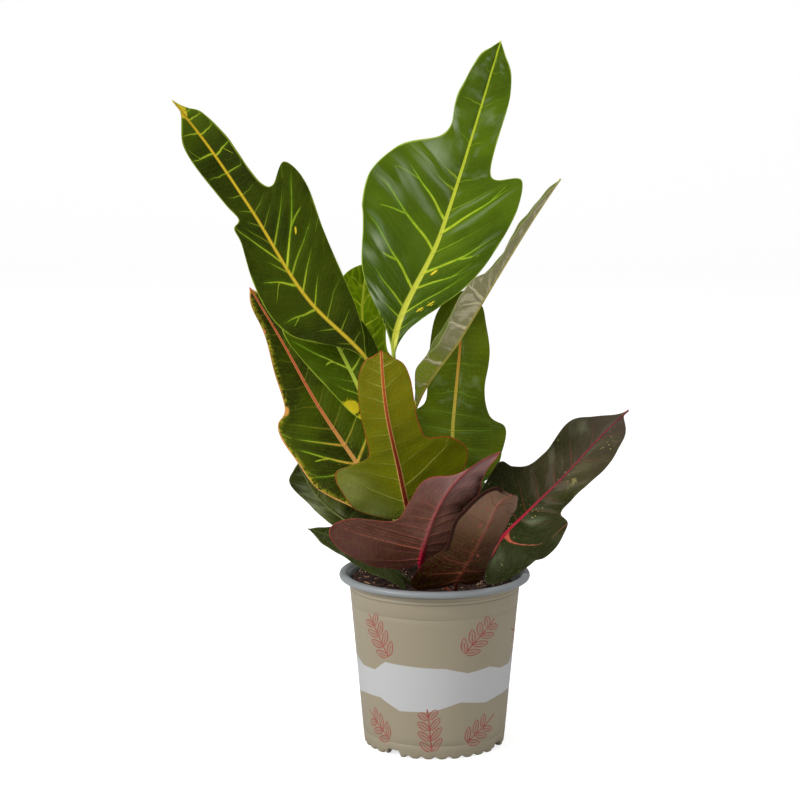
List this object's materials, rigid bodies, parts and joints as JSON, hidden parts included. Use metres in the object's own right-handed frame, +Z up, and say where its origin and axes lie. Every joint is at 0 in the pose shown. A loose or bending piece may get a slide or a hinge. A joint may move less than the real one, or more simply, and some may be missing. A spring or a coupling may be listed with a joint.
{
  "type": "potted croton",
  "caption": "Potted croton with lobed, veined leaves in green, olive and mauve on a short woody stem, in a tapered nursery pot filled with soil.",
  "frame": {"origin": "on the pot's axis, on the flat pad under the pot that it stands on", "axes": "+Z up along the pot's axis, -Y towards the side with the pale band and the mauve leaves, +X to that side's right"},
  "size_m": [0.3073, 0.211, 0.4762],
  "materials": {
    "pot_plastic": "satin",
    "soil": "rough",
    "stem_bark": "rough",
    "leaf_top_tall": "satin",
    "leaf_top_left": "satin",
    "leaf_top_right": "satin",
    "leaf_left": "satin",
    "leaf_left_inner": "satin",
    "leaf_back_upright": "satin",
    "leaf_front_middle": "satin",
    "leaf_right": "satin",
    "leaf_front_mauve": "satin",
    "leaf_front_bronze": "satin",
    "leaf_low_right": "satin",
    "leaf_low_back_left": "satin",
    "leaf_low_left": "satin",
    "leaf_back_low": "satin",
    "leaf_back_right": "satin",
    "leaf_back_left": "satin"
  },
  "bodies": {
    "root": {"pot": "pot_plastic", "soil": "soil", "stem": "stem_bark", "leaf_top_tall": "leaf_top_tall", "leaf_top_left": "leaf_top_left", "leaf_top_right": "leaf_top_right", "leaf_left": "leaf_left", "leaf_left_inner": "leaf_left_inner", "leaf_back_upright": "leaf_back_upright", "leaf_front_middle": "leaf_front_middle", "leaf_right": "leaf_right", "leaf_front_mauve": "leaf_front_mauve", "leaf_front_bronze": "leaf_front_bronze", "leaf_low_right": "leaf_low_right", "leaf_low_back_left": "leaf_low_back_left", "leaf_low_left": "leaf_low_left", "leaf_back_low": "leaf_back_low", "leaf_back_right": "leaf_back_right", "leaf_back_left": "leaf_back_left"}
  },
  "joints": []
}
